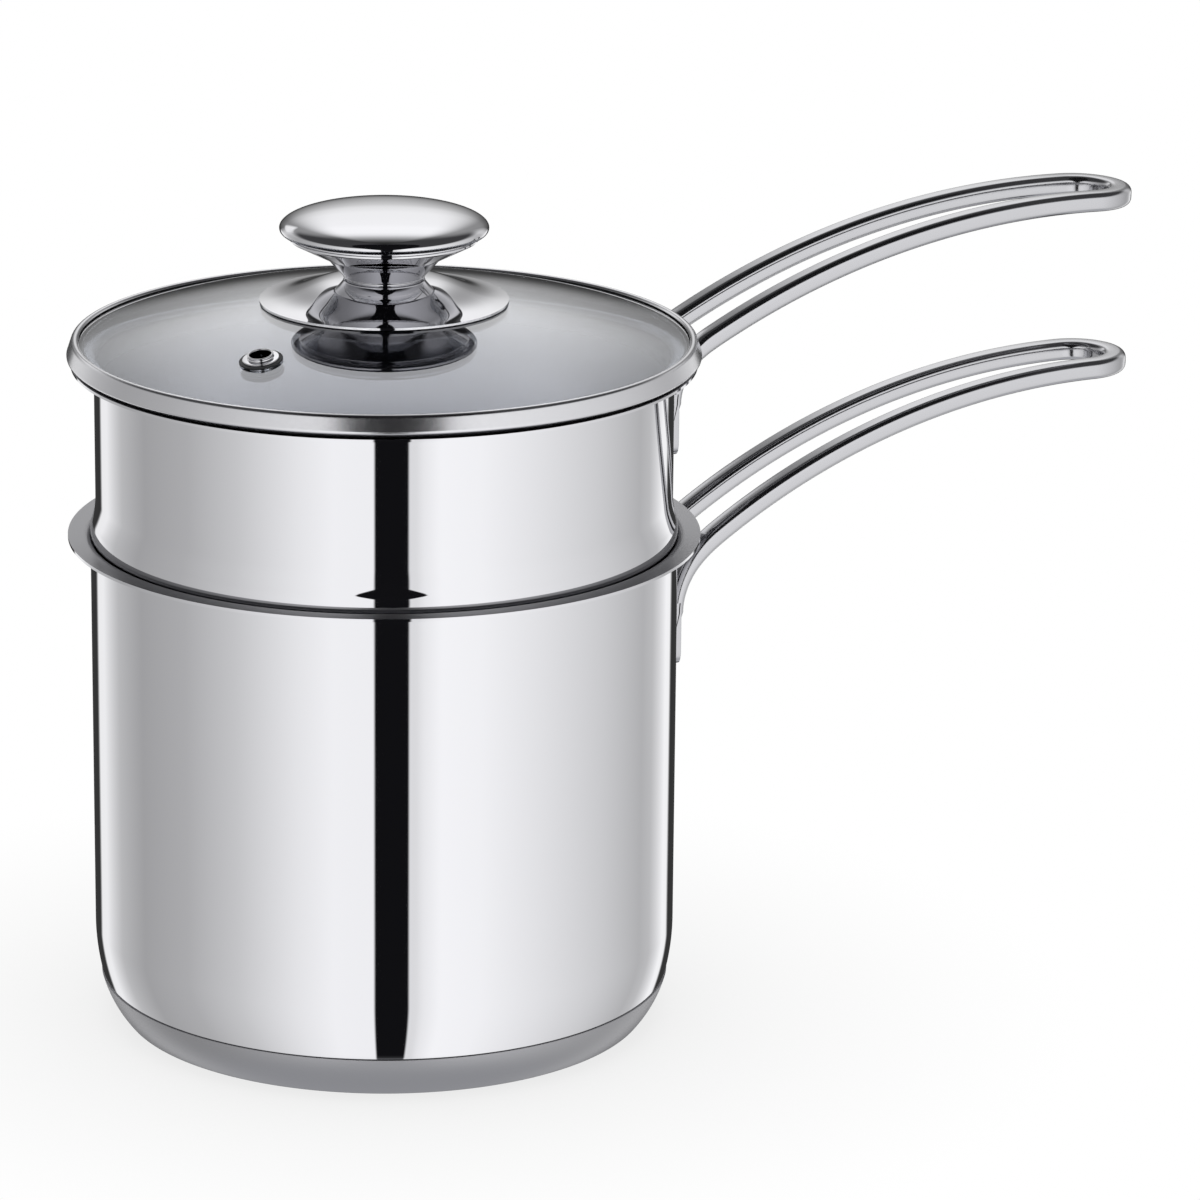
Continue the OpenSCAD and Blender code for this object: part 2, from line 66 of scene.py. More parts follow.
def outline(*parts):
    """Joins parts of an outline and drops points that repeat the one before."""
    points = np.concatenate([np.atleast_2d(np.asarray(p, float)) for p in parts])
    keep = np.ones(len(points), bool)
    keep[1:] = np.linalg.norm(np.diff(points, axis=0), axis=1) > 1e-4
    return points[keep]


# Meshes

def mesh_piece(name, points, quads, corner=30):
    """A piece from millimetre points and index quads: repeated points are merged, faces are
    turned outwards, and edges sharper than corner degrees stay crisp."""
    mesh = bpy.data.meshes.new(name)
    mesh.from_pydata((np.asarray(points) * MM).tolist(), [], np.asarray(quads).tolist())
    work = bmesh.new()
    work.from_mesh(mesh)
    bmesh.ops.remove_doubles(work, verts=work.verts, dist=1e-7)
    bmesh.ops.recalc_face_normals(work, faces=work.faces)
    work.to_mesh(mesh)
    work.free()
    mesh.polygons.foreach_set("use_smooth", np.ones(len(mesh.polygons), bool))
    mesh.set_sharp_from_angle(angle=math.radians(corner))
    piece = bpy.data.objects.new(name, mesh)
    bpy.context.scene.collection.objects.link(piece)
    return piece


def grid_quads(rows, columns, close_rows=False, close_columns=False):
    """Index quads of a rows x columns grid of points, wrapped where a direction closes."""
    i = np.arange(rows if close_rows else rows - 1)
    j = np.arange(columns if close_columns else columns - 1)
    i, j = np.meshgrid(i, j, indexing="ij")
    k, m = (i + 1) % rows, (j + 1) % columns
    return np.stack([i * columns + j, i * columns + m, k * columns + m, k * columns + j],
                    axis=-1).reshape(-1, 4)


def turned(section, steps=288):
    """Points of a section turned about Z: (s cos a, s sin a, z) for every point and angle."""
    a = np.linspace(0, 2 * np.pi, steps, endpoint=False)
    s, z = section[:, 0][:, None], section[:, 1][:, None]
    return np.stack([s * np.cos(a), s * np.sin(a), z + 0 * a], axis=-1).reshape(-1, 3)


def turned_piece(name, section, steps=288, ring=False, corner=30):
    """A section turned about Z. A ring's section closes on itself; any other starts and
    ends on the axis, where its points merge into poles."""
    quads = grid_quads(len(section), steps, close_rows=ring, close_columns=True)
    return mesh_piece(name, turned(section, steps), quads, corner)


def sheet_section(line, thickness):
    """A drawn sheet's closed section: the outline at depth 0, and back at its thickness."""
    return outline(line(0), line(thickness)[::-1])


# Lower pot

POT_R, POT_H, POT_T = 81.0, 138.6, 0.8
FLANGE_W, THROAT_R = 4.4, 2.6
BELLY_Z, BELLY_R, CORNER_R = 27.0, 60.0, 3.0
SEAM_Z, BASE_SIDE_R, BASE_EDGE_R, CAP_SHEET = 12.2, 30.0, 1.2, 0.6
SEAM_STEP, SEAM_GAP, BOND = 0.35, 0.25, 0.05

RIM_R = POT_R - POT_T + THROAT_R + FLANGE_W
THROAT_S = POT_R - POT_T + THROAT_R
BELLY_TURN = math.degrees(math.asin((BELLY_Z - SEAM_Z) / BELLY_R))
SEAM_R = POT_R - BELLY_R * (1 - math.cos(math.radians(BELLY_TURN)))
FLOOR_Z = SEAM_Z - CORNER_R * (1 - math.sin(math.radians(BELLY_TURN)))


def pot_line(d):
    """Floor, corner, drawn-in belly, straight wall, throat and flat pouring flange."""
    corner_s = SEAM_R - CORNER_R * math.cos(math.radians(BELLY_TURN))
    wall_top = POT_H - THROAT_R
    flange_z = POT_H - POT_T + d
    return outline(
        run([0, FLOOR_Z + d], [corner_s, FLOOR_Z + d]),
        arc(corner_s, FLOOR_Z + CORNER_R, CORNER_R - d, -90, -BELLY_TURN, 14),
        arc(POT_R - BELLY_R, BELLY_Z, BELLY_R - d, -BELLY_TURN, 0, 24),
        run([POT_R - d, BELLY_Z], [POT_R - d, wall_top], 10),
        arc(THROAT_S, wall_top, THROAT_R - POT_T + d, 180, 90, 16),
        run([THROAT_S, flange_z], [RIM_R, flange_z], 2))


def base_line(d):
    """Resting face, edge bend and rounded side of the capsule base's cap."""
    side_s = SEAM_R + SEAM_STEP - BASE_SIDE_R * math.cos(math.radians(BELLY_TURN))
    side_z = SEAM_Z + BASE_SIDE_R * math.sin(math.radians(BELLY_TURN))
    edge_turn = math.degrees(math.asin((side_z - BASE_EDGE_R) / (BASE_SIDE_R - BASE_EDGE_R)))
    edge_s = side_s + (BASE_SIDE_R - BASE_EDGE_R) * math.cos(math.radians(edge_turn))
    seam_turn = math.degrees(math.asin((side_z - SEAM_Z + SEAM_GAP) / (BASE_SIDE_R - d)))
    return outline(
        run([0, d], [edge_s, d]),
        arc(edge_s, BASE_EDGE_R, BASE_EDGE_R - d, -90, -edge_turn, 10),
        arc(side_s, side_z, BASE_SIDE_R - d, -edge_turn, -seam_turn, 20))


# Insert pot

INSERT_R, INSERT_T = 79.5, 0.7
BULGE_OUT, BULGE_R, SHOULDER_R, HOLLOW_R = 1.5, 3.0, 12.0, 22.0
LOW_R, NECK_R, INSERT_CORNER_R = 77.6, 2.0, 14.0
INSERT_UP, INSERT_DOWN, INSERT_FLANGE_W, INSERT_THROAT_R = 47.6, 54.4, 4.8, 2.2
SEAT_GAP, LID_GAP, LIP_GAP, WELD_GAP = 0.3, 0.3, 0.6, 0.3

BULGE_S = INSERT_R + BULGE_OUT - BULGE_R
BULGE_Z = POT_H - THROAT_R + math.sqrt((BULGE_R + THROAT_R + SEAT_GAP) ** 2
                                       - (THROAT_S - BULGE_S) ** 2)
UNDER_TURN = math.degrees(math.acos((LOW_R - BULGE_S + NECK_R) / (BULGE_R + NECK_R)))
SHOULDER_S = INSERT_R + BULGE_OUT - SHOULDER_R
SHOULDER_TURN = math.degrees(math.acos((INSERT_R + HOLLOW_R - SHOULDER_S)
                                       / (SHOULDER_R + HOLLOW_R)))
INSERT_RIM_Z = BULGE_Z + INSERT_UP
INSERT_FLOOR_Z = BULGE_Z - INSERT_DOWN
INSERT_THROAT_S = INSERT_R - INSERT_T + INSERT_THROAT_R
INSERT_RIM_R = INSERT_THROAT_S + INSERT_FLANGE_W


def insert_line(d):
    """Floor, corner, lower wall, bulge with its underside and shoulder, wall, throat, rim."""
    under, shoulder = math.radians(UNDER_TURN), math.radians(SHOULDER_TURN)
    neck = [BULGE_S + (BULGE_R + NECK_R) * math.cos(under),
            BULGE_Z - (BULGE_R + NECK_R) * math.sin(under)]
    hollow = [SHOULDER_S + (SHOULDER_R + HOLLOW_R) * math.cos(shoulder),
              BULGE_Z + (SHOULDER_R + HOLLOW_R) * math.sin(shoulder)]
    corner_s = LOW_R - INSERT_CORNER_R
    corner_z = INSERT_FLOOR_Z + INSERT_CORNER_R
    wall_top = INSERT_RIM_Z - INSERT_THROAT_R
    rim_z = INSERT_RIM_Z - INSERT_T + d
    return outline(
        run([0, INSERT_FLOOR_Z + d], [corner_s, INSERT_FLOOR_Z + d]),
        arc(corner_s, corner_z, INSERT_CORNER_R - d, -90, 0, 24),
        run([LOW_R - d, corner_z], [LOW_R - d, neck[1]], 6),
        arc(*neck, NECK_R + d, 180, 180 - UNDER_TURN, 12),
        arc(BULGE_S, BULGE_Z, BULGE_R - d, -UNDER_TURN, 0, 16),
        arc(SHOULDER_S, BULGE_Z, SHOULDER_R - d, 0, SHOULDER_TURN, 14),
        arc(*hollow, HOLLOW_R + d, 180 + SHOULDER_TURN, 180, 14),
        run([INSERT_R - d, hollow[1]], [INSERT_R - d, wall_top], 8),
        arc(INSERT_THROAT_S, wall_top, INSERT_THROAT_R - INSERT_T + d, 180, 90, 14),
        run([INSERT_THROAT_S, rim_z], [INSERT_RIM_R, rim_z], 2))


# Lid

BAND_R, BAND_T, BAND_H, CREST_R, CREST_IN, CREST_START = 86.9, 0.5, 6.2, 1.2, 2.3, 150
SKIRT_R, SKIRT_DIP, LIP_H, LIP_BEND_R = 0.8, 35.0, 7.0, 1.5
GLASS_T, GLASS_RISE, GLASS_IN, GLASS_EDGE_W, GLASS_HOLE_R = 4.0, 13.0, 2.5, 0.7, 3.1

LID_Z = INSERT_RIM_Z + LID_GAP
CREST_S, CREST_Z = BAND_R - CREST_IN, LID_Z + BAND_H - CREST_R
SKIRT_S, SKIRT_Z = BAND_R - SKIRT_R, LID_Z + 1 + SKIRT_R
FACE_TURN = math.degrees(
    math.atan2(SKIRT_Z - CREST_Z, SKIRT_S - CREST_S)
    + math.acos((CREST_R - SKIRT_R) / math.hypot(SKIRT_S - CREST_S, SKIRT_Z - CREST_Z)))
SKIRT_END = arc(SKIRT_S, SKIRT_Z, SKIRT_R, SKIRT_DIP - 90, SKIRT_DIP - 90, 1)[0]
SEAT_S = SKIRT_END[0] - (SKIRT_END[1] - LID_Z) / math.tan(math.radians(SKIRT_DIP))
LIP_S = INSERT_R - INSERT_T - LIP_GAP
GLASS_R = BAND_R - GLASS_IN
GLASS_EDGE_Z = CREST_Z - BOND
DOME_R = (GLASS_R ** 2 + GLASS_RISE ** 2) / (2 * GLASS_RISE)
DOME_Z = GLASS_EDGE_Z + GLASS_RISE - DOME_R


def band_line(d):
    """Rolled crest, outer face, lower edge, seat on the insert's rim and centring lip."""
    crest = arc(CREST_S, CREST_Z, CREST_R - d, CREST_START, FACE_TURN, 22)
    skirt = arc(SKIRT_S, SKIRT_Z, SKIRT_R - d, FACE_TURN, SKIRT_DIP - 90, 14)
    seat = [SEAT_S - d * math.tan(math.radians(SKIRT_DIP / 2)), LID_Z + d]
    bend = arc(LIP_S + LIP_BEND_R, LID_Z - LIP_BEND_R, LIP_BEND_R + d, 90, 180, 10)
    return outline(crest, run(crest[-1], skirt[0], 4), skirt, run(skirt[-1], seat, 1, 0.1),
                   run(seat, bend[0], 2), bend,
                   run(bend[-1], [LIP_S - d, LID_Z - LIP_H], 2))


def sphere_turn(s, r):
    """The angle in degrees above the horizon of the point at distance s on a sphere of r."""
    return math.degrees(math.acos(s / r))


def glass_section():
    """The tempered dome between two spheres, with a ground edge: across it a half turn whose
    cosine is raised to a power under 1, which is squarer than a half circle."""
    top, low, edge_s, squareness = DOME_R, DOME_R - GLASS_T, GLASS_R - GLASS_EDGE_W, 0.7
    upper = arc(0, DOME_Z, top, sphere_turn(GLASS_HOLE_R, top), sphere_turn(edge_s, top), 90)
    lower = arc(0, DOME_Z, low, sphere_turn(edge_s, low), sphere_turn(GLASS_HOLE_R, low), 60)
    t = np.radians(np.linspace(90, -90, 13))
    middle, half = (upper[-1] + lower[0]) / 2, (upper[-1, 1] - lower[0, 1]) / 2
    edge = np.column_stack([middle[0] + GLASS_EDGE_W * np.cos(t) ** squareness,
                            middle[1] + half * np.sin(t)])
    return outline(upper, edge[1:-1], lower)


# Knob

CAP_R, CAP_DOME_H, CAP_T, CAP_ROLL_R = 28.6, 6.2, 0.8, 1.4
NECK_TOP_R, WAIST_R, CONE_H, NECK_H = 15.8, 11.3, 6.7, 5.9
DISC_R, DISC_T, DISC_LIFT, DISC_RISE = 34.1, 0.6, 0.85, 5.9
DISC_BELL, WAIST_GROOVE_W, WAIST_GROOVE_H = 3.4, 0.8, 0.45
CONE_STEP_W, CONE_STEP_H, CONE_EDGE_R, CONE_GROOVE, CONE_LAND_H = 1.6, 1.8, 0.2, 0.35, 0.15
STEP_RING_W, STEP_RING_TOP, STEP_RING_H, STEP_BREAK = 0.35, 0.8, 1.0, 0.1
BOSS_R = 6.0

DISC_EDGE_Z = DOME_Z + math.sqrt(DOME_R ** 2 - DISC_R ** 2) + DISC_LIFT
WAIST_Z = DISC_EDGE_Z + DISC_RISE
NECK_TOP_Z = WAIST_Z + NECK_H
CONE_TOP_Z = NECK_TOP_Z + CONE_H
CAP_Z = CONE_TOP_Z + CAP_ROLL_R


def cap_line(d):
    """The cap's elliptical dome, and its edge rolled under in a half circle."""
    t = np.radians(np.linspace(0, 90, 65))
    r = CAP_R - CAP_ROLL_R
    dome = np.column_stack([(r + CAP_ROLL_R - d) * np.sin(t),
                            CAP_Z + (CAP_DOME_H - d) * np.cos(t)])
    return outline(dome, arc(r, CAP_Z, CAP_ROLL_R - d, 0, -90, 20))


def cone_section():
    """Shadow groove at the waist, flaring neck, a turned groove, the shallow cone and the
    ringed step that holds the cap's edge."""
    step_s = CAP_R - CAP_ROLL_R - BOND
    low_s, low_z = WAIST_R - WAIST_GROOVE_W, WAIST_Z + WAIST_GROOVE_H
    neck_s, neck_z = NECK_TOP_R - 0.3, NECK_TOP_Z - CONE_GROOVE
    cone_s, cone_z = step_s - CONE_STEP_W, CONE_TOP_Z - CONE_STEP_H
    ring_s = cone_s + STEP_RING_W
    return outline(
        [[0, WAIST_Z + BOND], [low_s, WAIST_Z + BOND], [low_s, low_z]],
        arc(WAIST_R - CONE_EDGE_R, low_z + CONE_EDGE_R, CONE_EDGE_R, -90, -30, 5),
        run([WAIST_R, low_z + 0.35], [neck_s, neck_z], 6, STEP_BREAK),
        [[NECK_TOP_R - CONE_GROOVE - CONE_EDGE_R, NECK_TOP_Z - CONE_GROOVE * 0.4],
         [NECK_TOP_R + CONE_EDGE_R, NECK_TOP_Z]],
        run([NECK_TOP_R + 0.5, NECK_TOP_Z + CONE_LAND_H], [cone_s, cone_z], 6, STEP_BREAK),
        [[ring_s, cone_z + STEP_RING_W], [ring_s, cone_z + STEP_RING_TOP],
         [cone_s, cone_z + STEP_RING_H], [cone_s, CONE_TOP_Z - STEP_BREAK],
         [cone_s + STEP_BREAK, CONE_TOP_Z], [step_s, CONE_TOP_Z],
         [step_s, CAP_Z + CAP_T / 2], [0, CAP_Z + CAP_T / 2]])


def disc_line(d):
    """The bell-shaped disc: gentle at its edge and at the waist, steepest halfway, with
    z = edge + rise u - bell sin(2 pi u) / 2 pi for u from 0 at the edge to 1 at the waist."""
    s = np.linspace(WAIST_R, DISC_R, 61)
    u = (DISC_R - s) / (DISC_R - WAIST_R)
    z = DISC_EDGE_Z + DISC_RISE * u - DISC_BELL * np.sin(2 * np.pi * u) / (2 * np.pi)
    return outline([[BOSS_R + BOND, WAIST_Z - d]], np.column_stack([s, z - d]))


# Handles

REACH, RAIL_PITCH, RAIL_W, RAIL_T, RAIL_EDGE_R = 225.0, 23.0, 6.5, 5.6, 2.0
FOOT_T, FOOT_CORNER_R, FOOT_RUN, FOOT_OVER, FOOT_EDGE_R = 3.3, 4.0, 6.0, 3.0, 0.35
FEATHER_T = 0.8
LOWER_ARCH_S, LOWER_ARCH_UP, LOWER_ARCH_R = 212.6, 29.7, 205.0
UPPER_ARCH_S, UPPER_ARCH_UP, UPPER_ARCH_R = 205.0, 30.0, 230.0
LOWER_ROOT_R, LOWER_FOOT_H, UPPER_ROOT_R, UPPER_FOOT_H = 26.0, 18.4, 20.0, 18.0
SLOT_R = (RAIL_PITCH - RAIL_W) / 2
RING_S = REACH - (RAIL_PITCH + RAIL_W) / 2


def rail_section(height):
    """Closed cross-sections, one per height: x points out of the loop and y to the top face,
    with four quarter circles at the corners, of at most 0.45 of the height."""
    height = np.atleast_1d(height)[:, None]
    r = np.minimum(RAIL_EDGE_R, height * 0.45)
    x = RAIL_W / 2 - r
    top, low = RAIL_T / 2 - r, RAIL_T / 2 - height + r
    quarter = np.linspace(0, 90, 9)
    t = np.radians(np.concatenate([90 - quarter, -quarter, -90 - quarter, 180 - quarter]))
    sx = np.repeat([1, 1, -1, -1], len(quarter))
    sy = np.repeat([1, 0, 0, 1], len(quarter))
    px = sx * x + r * np.cos(t)
    py = np.where(sy == 1, top, low) + r * np.sin(t)
    return np.stack([px, py], axis=-1)


def loop_points(wall, arch_s, arch_z, arch_r, root_r):
    """Rings of points along the whole loop. The rail's middle line rises up the wall while the
    rail thickens from a feather edge, bends out on root_r, follows the arch of arch_r to its
    tip, turns round in a half circle in the arch's end plane and comes back mirrored."""
    root_s = math.sqrt((wall + WELD_GAP) ** 2 - SLOT_R ** 2) + RAIL_T / 2 + BOND
    turn = math.asin((arch_s - root_s - root_r) / (arch_r - root_r))
    root_z = arch_z - arch_r * (1 - math.cos(turn)) - root_r * math.cos(turn)
    tip = math.asin((RING_S - arch_s) / arch_r)
    u = np.linspace(0, 1, 8)[:-1]
    foot = np.column_stack([root_s + 0 * u, root_z - FOOT_RUN * (1 - u), np.pi / 2 + 0 * u,
                            FEATHER_T + (FOOT_T - FEATHER_T) * u])
    u = np.linspace(0, 1, 29)[:-1]
    a = np.pi / 2 + (turn - np.pi / 2) * u
    bend = np.column_stack([root_s + root_r * (1 - np.sin(a)), root_z + root_r * np.cos(a), a,
                            FOOT_T + (RAIL_T - FOOT_T) * u * u * (3 - 2 * u)])
    u = np.linspace(0, 1, 61)
    a = turn - (turn + tip) * u
    arch = np.column_stack([arch_s - arch_r * np.sin(a), arch_z - arch_r * (1 - np.cos(a)), a,
                            RAIL_T + 0 * u])
    path = np.concatenate([foot, bend, arch])
    section = rail_section(path[:, 3])
    s, z, a = path[:, 0, None], path[:, 1, None], path[:, 2, None]
    x, y = section[..., 0], section[..., 1]
    out = np.stack([s - y * np.sin(a), RAIL_PITCH / 2 + x, z + y * np.cos(a)], axis=-1)
    back = out[::-1] * [1, -1, 1]
    end_s, end_z, end_a = path[-1, 0], path[-1, 1], path[-1, 2]
    t = np.linspace(np.pi / 2, -np.pi / 2, 49)[1:-1, None]
    x, y = rail_section(RAIL_T)[0].T
    r = RAIL_PITCH / 2 + x
    bow = np.stack([end_s + r * np.cos(t) * math.cos(end_a) - y * math.sin(end_a),
                    r * np.sin(t),
                    end_z + r * np.cos(t) * math.sin(end_a) + y * math.cos(end_a)], axis=-1)
    return np.concatenate([out, bow, back]), root_z


def foot_points(wall, foot_top, height):
    """The foot plate on the wall's cylinder: across it y runs over its width, and between its
    lower edge with two rounded corners and its upper edge with the slot's round end z is
    shared out evenly. A front and a rear sheet of points are joined by rings round their
    borders, which break the front edge in two steps."""
    half = (RAIL_PITCH + RAIL_W) / 2
    grow = np.array([0.0, 0.0, 0.12, 1.0]) * FOOT_EDGE_R
    depth = np.array([0.0, FOOT_T - FOOT_EDGE_R, FOOT_T - 0.3 * FOOT_EDGE_R, FOOT_T])
    y = np.sin(np.linspace(-np.pi / 2, np.pi / 2, 81))
    v = np.linspace(0, 1, 25)

    def edge(inset):
        """The plate's width, and its lower and upper edge, drawn in by inset."""
        w = half - inset
        across = w * y
        over = np.maximum(np.abs(across) - (half - FOOT_CORNER_R), 0)
        r = FOOT_CORNER_R - inset
        low = foot_top - height + inset + r - np.sqrt(np.maximum(r * r - over ** 2, 0))
        slot = np.sqrt(np.maximum((SLOT_R + inset) ** 2 - across ** 2, 0))
        notch = foot_top + SLOT_R / 2 - slot
        high = np.where(np.abs(across) < SLOT_R, np.minimum(foot_top - inset, notch),
                        foot_top - inset)
        return across, low, high

    def sheet(inset, out):
        """A grid of points at the distance out from the plate's rear face."""
        across, low, high = edge(inset)
        z = low + (high - low) * v[:, None]
        radius = wall + WELD_GAP + out
        return np.stack([np.sqrt(radius ** 2 - across ** 2) + 0 * z, across + 0 * z, z], axis=-1)

    def border(points):
        """The points round a grid, once each."""
        return np.concatenate([points[0, :-1], points[:-1, -1], points[-1, :0:-1],
                               points[:0:-1, 0]])

    front, rear = sheet(grow[-1], depth[-1]), sheet(0.0, 0.0)
    rings = np.stack([border(sheet(g, d)) for g, d in zip(grow, depth)])
    rows, columns = front.shape[:2]
    sheet_quads = grid_quads(rows, columns)
    ring_quads = grid_quads(len(rings), rings.shape[1], close_columns=True)
    points = np.concatenate([front.reshape(-1, 3), rear.reshape(-1, 3), rings.reshape(-1, 3)])
    quads = np.concatenate([sheet_quads, sheet_quads + rows * columns,
                            ring_quads + 2 * rows * columns])
    return points, quads


def loop_handle(name, wall, arch_s, arch_z, arch_r, root_r, foot_h):
    """A handle: the swept loop with its two closed ends, and its foot plate."""
    rings, root_z = loop_points(wall, arch_s, arch_z, arch_r, root_r)
    count, around = rings.shape[:2]
    quads = grid_quads(count, around, close_columns=True)
    lid = np.arange(around // 2 - 1)
    ends = np.stack([lid, lid + 1, around - 2 - lid, around - 1 - lid], axis=-1)
    quads = np.concatenate([quads, ends, ends + (count - 1) * around])
    foot, foot_quads = foot_points(wall, root_z + FOOT_OVER, foot_h)
    points = np.concatenate([rings.reshape(-1, 3), foot])
    return mesh_piece(name, points, np.concatenate([quads, foot_quads + count * around]), 35)


# Vent

VENT_S, VENT_TURN, VENT_R, VENT_T = 59.2, -144.0, 2.95, 0.4
VENT_FLANGE_R, VENT_SEAL_R, VENT_SEAL_T, VENT_ROLL_H, HOLE_GAP = 5.0, 5.9, 0.6, 1.2, 0.3
VENT_ROLL_SHARE, VENT_FILLET_R, DRILL_PAST = 0.7, 0.35, 2.0


def at_vent(piece):
    """Stands a piece made about Z = 0 on the glass at the vent, along the glass's normal."""
    lean = math.asin(VENT_S / DOME_R)
    place = (Matrix.Rotation(math.radians(VENT_TURN), 4, "Z")
             @ Matrix.Translation((0, 0, DOME_Z * MM))
             @ Matrix.Rotation(lean, 4, "Y") @ Matrix.Translation((0, 0, DOME_R * MM)))
    piece.data.transform(place)
    return piece


def eyelet_section():
    """Tube, rolled top with its small round lip, upper flange and spread lower end."""
    flange_z = VENT_SEAL_T + BOND
    low_z = -GLASS_T - VENT_SEAL_T - BOND
    roll = VENT_T * VENT_ROLL_SHARE
    tube_s = VENT_R + VENT_T
    top_z = flange_z + VENT_ROLL_H
    return outline(
        [[VENT_R, low_z - VENT_T], [VENT_R, top_z]],
        arc(VENT_R + roll, top_z, roll, 180, -60, 16),
        [[tube_s, top_z - 1.2 * roll]],
        arc(tube_s + VENT_FILLET_R, flange_z + VENT_T + VENT_FILLET_R, VENT_FILLET_R,
            180, 270, 5),
        arc(VENT_FLANGE_R - VENT_T / 2, flange_z + VENT_T / 2, VENT_T / 2, 90, -90, 8),
        [[tube_s, flange_z], [tube_s, low_z],
         [VENT_FLANGE_R, low_z], [VENT_FLANGE_R, low_z - VENT_T]])


def ring_section(inner, outer, low, high, soft=0.15):
    """A washer's section with broken edges."""
    return np.array([[inner + soft, low], [outer - soft, low], [outer, low + soft],
                     [outer, high - soft], [outer - soft, high], [inner + soft, high],
                     [inner, high - soft], [inner, low + soft]])


# Materials

MIRROR_STEEL = "#C7C7CA"


def linear(code):
    """sRGB hex to linear RGBA."""
    c = np.array([int(code[i:i + 2], 16) for i in (1, 3, 5)]) / 255
    c = np.where(c <= 0.04045, c / 12.92, ((c + 0.055) / 1.055) ** 2.4)
    return (*c.tolist(), 1.0)


def add(tree, kind, links=None, **settings):
    """Adds a node. Settings are its properties, or its inputs' values, by name with _ for a
    space or by number as in in1. Links join its inputs, by name or number, to other nodes'
    first outputs or to any socket."""
    node = tree.nodes.new("ShaderNode" + kind)
    for key, value in settings.items():
        spoken = key.replace("_", " ")
        if hasattr(node, key) and key not in node.inputs:
            setattr(node, key, value)
        elif spoken in node.inputs:
            node.inputs[spoken].default_value = value
        else:
            node.inputs[int(key.removeprefix("in"))].default_value = value
    for key, source in (links or {}).items():
        tree.links.new(getattr(source, "outputs", [source])[0], node.inputs[key])
    return node


def new_material(name, **inputs):
    """A node material, its tree and its surface shader with the inputs given, _ for a space."""
    material = bpy.data.materials.new(name)
    material.use_nodes = True
    tree = material.node_tree
    shader = tree.nodes["Principled BSDF"]
    for key, value in inputs.items():
        shader.inputs[key.replace("_", " ")].default_value = value
    return material, tree, shader


def mirror_roughness(tree, place):
    """A mirror's roughness with the faint cloudiness of the buffing wheel, in clouds of about
    35 mm."""
    clouds = add(tree, "TexNoise", {"Vector": place}, Scale=28.0, Detail=3.0)
    return add(tree, "MapRange", {"Value": clouds}, in1=0.35, in2=0.7, in3=0.02, in4=0.035)


def polished_steel():
    """18/10 stainless steel, buffed to a mirror: crisp reflections, blurred a little where the
    wheel left a faint cloudiness."""
    material, tree, shader = new_material(
        "polished_stainless_steel", Base_Color=linear(MIRROR_STEEL), Metallic=1.0)
    place = add(tree, "TexCoord").outputs["Object"]
    tree.links.new(mirror_roughness(tree, place).outputs[0], shader.inputs["Roughness"])
    return material


def satin_mirror_steel(name, code, roughness):
    """Stainless steel buffed less than a mirror, as the handles and the rim band are: it
    still holds the studio's dark and light bands, with soft edges and a grain of about 1 mm
    that takes its roughness 8% either way."""
    material, tree, shader = new_material(name, Base_Color=linear(code), Metallic=1.0)
    place = add(tree, "TexCoord").outputs["Object"]
    grain = add(tree, "TexNoise", {"Vector": place}, Scale=900.0, Detail=2.0)
    spread = add(tree, "MapRange", {"Value": grain},
                 in1=0.3, in2=0.7, in3=roughness * 0.92, in4=roughness * 1.08)
    tree.links.new(spread.outputs[0], shader.inputs["Roughness"])
    return material


def pot_steel():
    """The pots' stainless steel: a mirror outside, and brushed round the axis inside and on
    the flat rim, where it shows soft darker streaks instead of an image. A face is outside
    where its normal points away from the axis."""
    material, tree, shader = new_material(
        "pot_stainless_steel", Base_Color=linear(MIRROR_STEEL), Metallic=1.0)
    place = add(tree, "TexCoord").outputs
    flat = add(tree, "VectorMath", {0: place["Object"]}, operation="MULTIPLY", in1=(1, 1, 0))
    outward = add(tree, "VectorMath", {0: flat}, operation="NORMALIZE")
    facing = add(tree, "VectorMath", {0: outward, 1: place["Normal"]}, operation="DOT_PRODUCT")
    brushed = add(tree, "MapRange", {"Value": facing.outputs["Value"]},
                  in1=0.12, in2=0.04, in3=0.0, in4=1.0)
    tone = add(tree, "Mix", {"Factor": brushed}, data_type="RGBA",
               in6=linear(MIRROR_STEEL), in7=linear("#949497"))
    tree.links.new(tone.outputs[2], shader.inputs["Base Color"])
    spread = add(tree, "Mix", {"Factor": brushed, 2: mirror_roughness(tree, place["Object"])},
                 in3=0.38)
    tree.links.new(spread.outputs[0], shader.inputs["Roughness"])
    streaks = add(tree, "Math", {0: brushed}, operation="MULTIPLY", in1=0.7)
    tree.links.new(streaks.outputs[0], shader.inputs["Anisotropic"])
    round_axis = add(tree, "Tangent", direction_type="RADIAL", axis="Z")
    tree.links.new(round_axis.outputs[0], shader.inputs["Tangent"])
    return material


def satin_steel():
    """Stainless steel ground to a satin round the axis: a soft grey with no image in it."""
    material, tree, shader = new_material(
        "satin_stainless_steel", Base_Color=linear("#9A9A9D"), Metallic=1.0, Roughness=0.36,
        Anisotropic=0.6)
    round_axis = add(tree, "Tangent", direction_type="RADIAL", axis="Z")
    tree.links.new(round_axis.outputs[0], shader.inputs["Tangent"])
    return material


def clear_glass():
    """Tempered soda-lime glass, clear, with the faint grey-blue of its thickness and the
    strong, cool reflection of its hard easy-clean coat."""
    return new_material(
        "tempered_glass", Base_Color=linear("#EEF2FA"), Roughness=0.0, IOR=1.52,
        Specular_Tint=linear("#CFDBFF"), Transmission_Weight=1.0, Coat_Weight=1.0,
        Coat_Roughness=0.0, Coat_IOR=1.5)[0]


